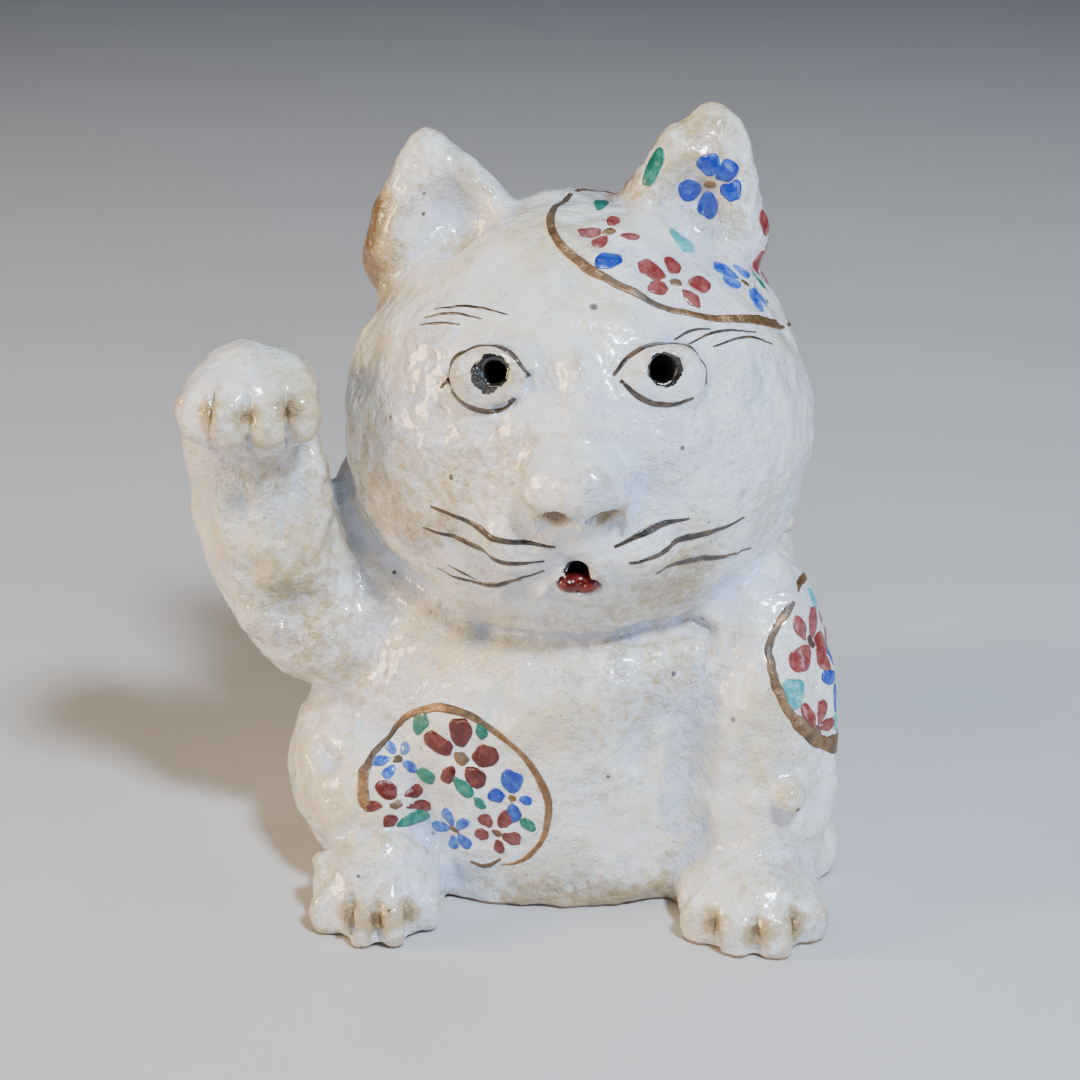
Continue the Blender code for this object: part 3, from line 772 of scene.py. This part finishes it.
def stroke(points, widths):
    """A line of the brush through a few points, as wide in mm as the widths say."""
    path = bpy.data.curves.new("stroke", "CURVE")
    path.dimensions = "3D"
    path.bevel_depth = 0.5
    path.bevel_resolution = 5
    path.resolution_u = 18
    path.use_fill_caps = True
    spline = path.splines.new("BEZIER")
    spline.bezier_points.add(len(points) - 1)
    for knot, (x, y), width in zip(spline.bezier_points, points, widths):
        knot.co = (x, y, 0)
        knot.radius = width
        knot.handle_left_type = "AUTO"
        knot.handle_right_type = "AUTO"
    line = bpy.data.objects.new("stroke", path)
    bpy.context.collection.objects.link(line)
    pick(line)
    bpy.ops.object.convert(target="MESH")
    line = bpy.context.object
    bpy.ops.object.mode_set(mode="EDIT")
    bpy.ops.mesh.select_all(action="SELECT")
    bpy.ops.mesh.remove_doubles(threshold=0.001)
    bpy.ops.object.mode_set(mode="OBJECT")
    for point in line.data.vertices:
        thick = LINE_HEIGHT if point.co.z > 0 else SUNK
        point.co.z = math.copysign(thick * min(1, abs(point.co.z) * 3), point.co.z)
    return line


def paint(name, touches, wrap, finish):
    """Joins the touches of one colour, lays them on the cat and gives them their enamel."""
    painted = knead(touches, name)
    lay(painted, wrap)
    pick(painted)
    bpy.ops.object.mode_set(mode="EDIT")
    bpy.ops.mesh.select_all(action="SELECT")
    bpy.ops.mesh.normals_make_consistent(inside=False)
    bpy.ops.object.mode_set(mode="OBJECT")
    bpy.ops.object.shade_smooth()
    painted.data.materials.clear()
    painted.data.materials.append(finish)
    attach(painted, "root")
    return painted


# Enamel colours. Each is a lead glass: deep where the brush left a pool, pale and streaky
# where it was dragged thin and the white glaze shows through, with tiny pits in its skin.
brushed, given, gives = effect(
    "brushed_enamel", [("Place", VECTOR), ("Streak", FLOAT)], [("Deep", FLOAT), ("Pits", FLOAT)]
)
mix = Mix(brushed)
drag = mix.noise(given["Place"], 0.55, 4, 0.6)
fine = mix.noise(given["Place"], 2.6, 3, 0.65)
both = mix.sum("ADD", mix.sum("MULTIPLY", drag, 0.65), mix.sum("MULTIPLY", fine, 0.35))
pale_from = mix.sum("ADD", 0.30, mix.sum("MULTIPLY", given["Streak"], 0.22))
deep_from = mix.sum("ADD", pale_from, 0.16)
inputs = {"Value": both, "From Min": pale_from, "From Max": deep_from}
brushed.links.new(mix.node("ShaderNodeMapRange", inputs), gives["Deep"])
brushed.links.new(fine, gives["Pits"])


def enamel(name, deep, pale, streak):
    """A glassy colour that goes from deep to pale as its streak grows from 0 to 1."""
    finish, shader, mix = new_finish(name)
    place = mix.node("ShaderNodeTexCoord", out="Object")
    body = place_group(mix, brushed, {"Place": place, "Streak": streak})
    mix.tree.links.new(mix.blend(body["Deep"], pale, deep), shader.inputs["Base Color"])
    mix.tree.links.new(mix.ramp(body["Pits"], 0.35, 0.7, 0.16, 0.42), shader.inputs["Roughness"])
    bump = {"Height": body["Pits"], "Strength": 0.35, "Distance": 0.15 * MM}
    mix.tree.links.new(mix.node("ShaderNodeBump", bump), shader.inputs["Normal"])
    shader.inputs["Coat Weight"].default_value = 0.4
    shader.inputs["Coat Roughness"].default_value = 0.1
    return finish


DEEP_RED = enamel("deep_red_enamel", (0.075, 0.006, 0.005, 1), (0.19, 0.035, 0.028, 1), 0.25)
BROWN_RED = enamel("brown_red_enamel", (0.10, 0.012, 0.010, 1), (0.22, 0.055, 0.045, 1), 0.4)
ROSE_RED = enamel("rose_red_enamel", (0.19, 0.024, 0.022, 1), (0.33, 0.095, 0.08, 1), 0.45)
DEEP_BLUE = enamel("deep_blue_enamel", (0.006, 0.025, 0.30, 1), (0.03, 0.11, 0.50, 1), 0.35)
PALE_BLUE = enamel("pale_blue_enamel", (0.008, 0.04, 0.40, 1), (0.09, 0.24, 0.64, 1), 0.5)
GREEN = enamel("green_enamel", (0.003, 0.12, 0.085, 1), (0.04, 0.24, 0.18, 1), 0.4)
TURQUOISE = enamel("turquoise_enamel", (0.01, 0.28, 0.30, 1), (0.14, 0.48, 0.50, 1), 0.65)

# The lustre. The outlines of the patches are a thin film of gold over brown, bright and
# grainy where it held, worn to grey-brown where hands and the kiln took it off.
lustre, shader, mix = new_finish("gold_lustre")
place = mix.node("ShaderNodeTexCoord", out="Object")
body = place_group(mix, brushed, {"Place": place, "Streak": 0.5})
film = mix.ramp(mix.noise(place, 0.09, 3, 0.6), 0.40, 0.58)
worn = mix.blend(body["Deep"], (0.055, 0.040, 0.030, 1), (0.11, 0.075, 0.05, 1))
gilt = mix.blend(body["Deep"], (0.24, 0.125, 0.055, 1), (0.38, 0.22, 0.11, 1))
mix.tree.links.new(mix.blend(film, worn, gilt), shader.inputs["Base Color"])
mix.tree.links.new(mix.ramp(film, 0, 1, 0.15, 0.75), shader.inputs["Metallic"])
mix.tree.links.new(mix.ramp(body["Pits"], 0.35, 0.7, 0.28, 0.5), shader.inputs["Roughness"])
bump = {"Height": body["Pits"], "Strength": 0.6, "Distance": 0.2 * MM}
mix.tree.links.new(mix.node("ShaderNodeBump", bump), shader.inputs["Normal"])

line_black = enamel("black_line_enamel", (0.020, 0.017, 0.015, 1), (0.12, 0.075, 0.045, 1), 0.45)


def oval(middle, radii, lean, start, end, wide, ends=(1, 1), steps=22):
    """A patch's outline: part of a leaning oval, with a width that swells and thins."""
    points = []
    widths = []
    for step in range(steps + 1):
        share = step / steps
        angle = math.radians(start + (end - start) * share)
        up = radii[1] * math.sin(angle)
        waver = 1 + 0.012 * math.sin(5 * angle) + hand.uniform(-0.008, 0.008)
        points.append((middle[0] + (radii[0] * math.cos(angle) + lean * up) * waver, middle[1] + up * waver))
        swell = 1 + 0.22 * math.sin(4 * angle + 1) + hand.uniform(-0.12, 0.12)
        tip = min(1, ends[0] + share * 9, ends[1] + (1 - share) * 9)
        widths.append(wide * swell * tip)
    return stroke(points, widths)


# The patch on the right haunch and belly: six small flowers and seven leaves in a ring of
# lustre that is open towards the hind paw, drawn in two pulls that miss each other slightly.
belly = laid_on(at(0, 0, 10), -26, 21, 44)
belly_oval = ((1.8, -4.6), (14.8, 13.2), -0.2)
paint(
    "belly_outline",
    [
        oval(*belly_oval, 198, 166, 1.25, (0.7, 0.8), 8),
        oval(*belly_oval, 173, -72, 1.15, (0.8, 0.15), 30),
        stroke([(3.2, -17.3), (6.0, -17.8), (8.8, -15.8)], (0.5, 1.0, 0.5)),
    ],
    belly,
    lustre,
)
paint(
    "belly_deep_red_petals",
    flower(1.3, 1.6, 3.8, 1.8, 1.3, (97, 1.25), (160, 1.2), (16, 1.1), (-44, 0.95), (-118, 0.85)),
    belly,
    DEEP_RED,
)
paint(
    "belly_brown_red_petals",
    flower(-8.4, -7.8, 2.6, 1.3, 0.85, (125, 1.1), 48, -2, (-96, 0.85), (-168, 0.9))
    + flower(8.0, -10.6, 2.9, 1.5, 1.05, 140, (60, 1.2), -12, (-80, 0.9), (-168, 0.9)),
    belly,
    BROWN_RED,
)
paint(
    "belly_deep_blue_petals",
    flower(10.3, -3.6, 2.6, 1.4, 1.15, (100, 1.45), 178, (-2, 0.7), -86),
    belly,
    DEEP_BLUE,
)
paint(
    "belly_pale_blue_petals",
    flower(-9.8, -0.8, 2.2, 1.1, 0.75, 134, 68, -20, -100, -166)
    + flower(0.0, -11.8, 2.6, 1.5, 0.9, 115, 46, -46, -92, -178),
    belly,
    PALE_BLUE,
)
paint(
    "belly_leaves",
    [
        dab(-6.0, 5.6, 1.8, 1.25, 58),
        dab(4.4, 6.6, 1.25, 0.85, -62),
        dab(-4.9, -2.6, 1.6, 1.2, -10),
        dab(2.2, -3.1, 2.0, 1.0, -40),
        dab(5.0, -5.3, 1.1, 0.7, -52),
        dab(13.2, -8.0, 1.5, 0.95, -34),
        dab(-6.4, -10.3, 1.7, 1.0, 34),
    ],
    belly,
    GREEN,
)
paint(
    "belly_flower_hearts",
    [
        dab(1.3, 1.6, 1.2, 0.95, -20),
        dab(-9.8, -0.8, 0.7, 0.6, 40),
        dab(-8.4, -7.8, 0.6, 0.55, 10),
        dab(10.3, -3.6, 0.6, 0.6, 90),
        dab(8.0, -10.6, 0.9, 0.6, -20),
        dab(0.0, -11.6, 1.0, 0.5, -20),
    ],
    belly,
    lustre,
)

# The patch on the crown: its ring starts behind the left ear, comes down over the forehead
# and goes round the side of the head. The flowers nearest the face are rose and pale blue.
crown = laid_on(HEAD, 38, 56, 38.5)
crown_oval = ((15.0, 8.0), (28.0, 21.0), 0)
paint(
    "crown_outline",
    [oval(*crown_oval, 122, 290, 1.5, (0.6, 0.35), 26), oval(*crown_oval, 293, 478, 1.2, (0.4, 0.5), 30)],
    crown,
    lustre,
)
paint(
    "crown_rose_petals",
    flower(0.3, -3.5, 3.9, 1.9, 1.5, (138, 1.2), 58, 186, -18, (-76, 0.95))
    + flower(-3.9, 10.1, 3.3, 1.9, 1.0, 158, 204)
    + [dab(-1.4, 12.4, 1.7, 1.0, 40), dab(-1.6, 7.6, 1.5, 0.9, -40)]
    + flower(28.0, 4.0, 3.4, 1.8, 1.2, 90, 162, 234, 306, 18)
    + flower(14.0, 24.0, 3.2, 1.8, 1.2, 60, 132, 204, 348),
    crown,
    ROSE_RED,
)
paint(
    "crown_blue_petals",
    flower(15.0, -5.2, 3.5, 1.8, 1.2, (130, 1.1), 50, 176, (-38, 1.1), -84)
    + flower(31.0, 15.0, 3.0, 1.6, 1.1, 80, 152, 224, 296, 8),
    crown,
    PALE_BLUE,
)
paint("crown_deep_blue_dab", [dab(-8.5, 3.9, 2.5, 1.5, 10)], crown, DEEP_BLUE)
paint(
    "crown_leaves",
    [dab(2.0, 19.4, 3.3, 1.15, 42), dab(22.0, -3.0, 1.8, 1.0, -70), dab(24.0, 21.5, 1.6, 0.9, 20)],
    crown,
    GREEN,
)
paint("crown_turquoise_leaf", [dab(8.0, 4.8, 2.6, 2.0, 80)], crown, TURQUOISE)
paint(
    "crown_flower_hearts",
    [dab(0.3, -3.5, 0.95, 0.8, -20), dab(-3.9, 10.1, 1.2, 0.7, 0), dab(15.0, -5.2, 0.8, 0.6, -30)]
    + [dab(28.0, 4.0, 0.9, 0.8, 0), dab(31.0, 15.0, 0.8, 0.8, 0), dab(14.0, 24.0, 0.8, 0.8, 0)],
    crown,
    lustre,
)

# The painting on the front of the left ear: one blue flower with a heart of lustre, and a
# green leaf near the edge that faces the crown.
ear = laid_on(at(21.6, 144.5, 96), 0, 8, 152)
paint(
    "ear_blue_petals",
    flower(1.6, -3.4, 3.5, 1.75, 1.5, 98, (42, 1.15), -16, (-92, 1.05), -168),
    ear,
    DEEP_BLUE,
)
paint("ear_leaf", [dab(-7.6, -0.7, 2.9, 1.0, 66)], ear, GREEN)
paint("ear_flower_heart", [dab(1.7, -3.3, 0.9, 0.6, 0)], ear, lustre)

# The patch on the left shoulder: a ring round the outside of the foreleg, thickest at the
# bottom, with red, blue and turquoise inside. Its far half is out of sight from the front.
shoulder = laid_on(at(9.6, -6.5, 40), 62, 0, 34)
shoulder_oval = ((0.0, 0.8), (13.9, 11.2), 0)
paint(
    "shoulder_outline",
    [
        oval(*shoulder_oval, 118, 214, 1.2, (0.3, 0.9), 16),
        oval(*shoulder_oval, 208, 262, 2.3, (0.5, 0.2), 10),
        oval(*shoulder_oval, 258, 468, 1.1, (0.4, 0.3), 24),
    ],
    shoulder,
    lustre,
)
paint(
    "shoulder_red_petals",
    flower(-5.7, 4.1, 3.1, 1.9, 1.3, 118, 208, 52, -14, -72)
    + flower(-8.8, -6.8, 2.4, 1.5, 0.85, 116, 50, -6)
    + flower(6.0, 4.0, 3.0, 1.7, 1.1, 90, 162, 234, 306, 18),
    shoulder,
    ROSE_RED,
)
paint(
    "shoulder_blue_petals",
    flower(-1.6, -2.2, 2.8, 1.6, 1.0, 90, 162, 234, 306, 18)
    + flower(4.5, -6.0, 2.2, 1.3, 0.8, 60, 132, 204, 348),
    shoulder,
    DEEP_BLUE,
)
paint(
    "shoulder_turquoise_leaves",
    [dab(-11.6, -1.6, 1.9, 1.5, 62), dab(-1.0, 9.0, 1.6, 0.9, 80), dab(-4.0, -7.4, 1.6, 0.8, -60)],
    shoulder,
    TURQUOISE,
)
paint(
    "shoulder_flower_hearts",
    [dab(-5.7, 4.1, 0.7, 0.9, 0), dab(-8.8, -6.9, 0.7, 0.9, 60)]
    + [dab(6.0, 4.0, 0.8, 0.8, 0), dab(-1.6, -2.2, 0.7, 0.7, 0)],
    shoulder,
    lustre,
)

# The face, drawn in black line enamel that burnt to brown where it is thin: an upper and a
# lower line round each eye, three hairs for each brow, and the whiskers. A line is its points
# and its widths there.
face = laid_on(HEAD, 0, 8, 40)
EYE_LINES = {
    "right": (
        (
            ((-9.3, -1.7), (-6.3, 0.6), (-3.2, 3.4), (0.4, 4.7), (3.8, 3.9), (6.9, 0.6)),
            (0.6, 0.9, 0.95, 0.9, 0.85, 0.5),
        ),
        (((-7.4, -0.7), (-5.6, -3.0), (-1.6, -5.1), (1.8, -5.0), (4.6, -3.1)), (0.6, 0.85, 1.0, 0.75, 0.35)),
    ),
    "left": (
        (
            ((-9.2, 0.0), (-6.4, 3.1), (-1.6, 4.8), (3.1, 3.9), (5.8, 1.6), (7.0, -1.6)),
            (0.6, 0.9, 1.0, 0.85, 0.8, 0.7),
        ),
        (((-8.2, -0.9), (-5.3, -3.4), (-0.6, -4.8), (3.6, -4.0)), (0.6, 0.95, 0.9, 0.5)),
    ),
}


def on_face(place):
    """Where a place on the head falls on the flat drawing of the face."""
    root, out, right, up, radius = face
    ray = (place - root).normalized()
    swing = math.acos(ray.dot(out))
    return Vector((ray.dot(right), ray.dot(up))) * radius * swing / math.sin(swing)


lines = []
for side, strokes in EYE_LINES.items():
    middle = on_face(eye_centre(side))
    for points, widths in strokes:
        lines.append(stroke([middle + Vector(point) for point in points], widths))
paint("eye_lines", lines, face, line_black)
BROWS = (
    ((-28.2, 26.9), (-20.4, 27.3), (-12.8, 25.2)),
    ((-30.2, 25.3), (-24.0, 25.9), (-17.8, 24.7)),
    ((-30.7, 23.7), (-26.0, 24.0), (-21.8, 23.5)),
    ((15.8, 20.6), (19.0, 22.2), (23.5, 22.8)),
    ((18.4, 19.9), (25.0, 22.3), (33.0, 21.9)),
    ((23.2, 19.4), (30.0, 21.0), (38.0, 19.8)),
)
BROW_SHAPE = (0.35, 0.62, 0.3)
paint("brow_hairs", [stroke(points, BROW_SHAPE) for points in BROWS], face, line_black)
WHISKERS = (
    (((-26.4, -9.0), (-17.0, -11.0), (-4.0, -12.2)), 0.9),
    (((-28.6, -13.8), (-17.0, -15.4), (-5.8, -15.2)), 0.95),
    (((-27.2, -23.0), (-16.0, -23.0), (-5.9, -17.4)), 0.8),
    (((-24.0, -20.6), (-21.0, -21.8), (-18.6, -22.6)), 0.4),
    (((5.0, -12.3), (11.5, -10.3), (18.2, -9.8)), 1.0),
    (((7.2, -14.7), (19.0, -13.4), (30.4, -12.4)), 0.95),
    (((11.8, -17.7), (21.0, -18.4), (34.4, -21.2)), 0.9),
)
WHISKER_SHAPE = (0.5, 1.35, 0.5)
hairs = [stroke(points, [wide * part for part in WHISKER_SHAPE]) for points, wide in WHISKERS]
paint("whiskers", hairs, face, line_black)

# The studio: a pale floor, a warm window on the left with a weak glow beside it, a small cool
# key from the front right and above, a faint cool one on the right, and a broad one overhead.
bpy.ops.mesh.primitive_plane_add(size=6, location=(0, 0, 0))
floor = bpy.context.object
floor.name = "floor"
paper, shader, mix = new_finish("floor_paper")
place = mix.node("ShaderNodeTexCoord", out="Object")
tone = mix.blend(mix.noise(place, 0.02, 3), (0.52, 0.52, 0.53, 1), (0.56, 0.56, 0.57, 1))
mix.tree.links.new(tone, shader.inputs["Base Color"])
shader.inputs["Roughness"].default_value = 0.9
floor.data.materials.append(paper)
target = at(-4.0, -0.5, 50.5)


def softbox(name, where, size, power, colour):
    """A square soft light that looks at the middle of the cat."""
    bpy.ops.object.light_add(type="AREA", location=target + Vector(where))
    lamp = bpy.context.object
    lamp.name = name
    lamp.data.size = size
    lamp.data.energy = power
    lamp.data.color = colour
    lamp.rotation_euler = (-Vector(where)).to_track_quat("-Z", "Y").to_euler()
    return lamp


lamps = [
    softbox("warm_window", (-0.74, -0.14, 0.20), 0.24, 6.6, (1.0, 0.70, 0.38)),
    softbox("key_window", (0.26, -0.46, 0.64), 0.12, 10.4, (0.76, 0.87, 1.0)),
    softbox("cool_window", (0.62, -0.30, 0.16), 0.24, 1.5, (0.50, 0.68, 1.0)),
    softbox("left_glow", (-0.40, -0.62, 0.20), 0.20, 1.2, (1.0, 0.86, 0.66)),
    softbox("ceiling", (0.10, 0.25, 0.85), 0.40, 1.2, (0.74, 0.86, 1.0)),
]
sky = bpy.data.worlds.new("studio")
sky.use_nodes = True
sky.node_tree.nodes["Background"].inputs["Color"].default_value = (0.56, 0.68, 0.90, 1)
sky.node_tree.nodes["Background"].inputs["Strength"].default_value = 0.07
bpy.context.scene.world = sky

# The camera looks slightly down on the cat from about arm's length.
PITCH = math.radians(22)
AWAY = 0.404
bpy.ops.object.camera_add(location=target + Vector((0, -math.cos(PITCH), math.sin(PITCH))) * AWAY)
camera = bpy.context.object
camera.rotation_euler = (math.pi / 2 - PITCH, 0, 0)
camera.data.lens = 78.3
camera.data.sensor_width = 36
camera.data.clip_start = 0.01
bpy.context.scene.camera = camera
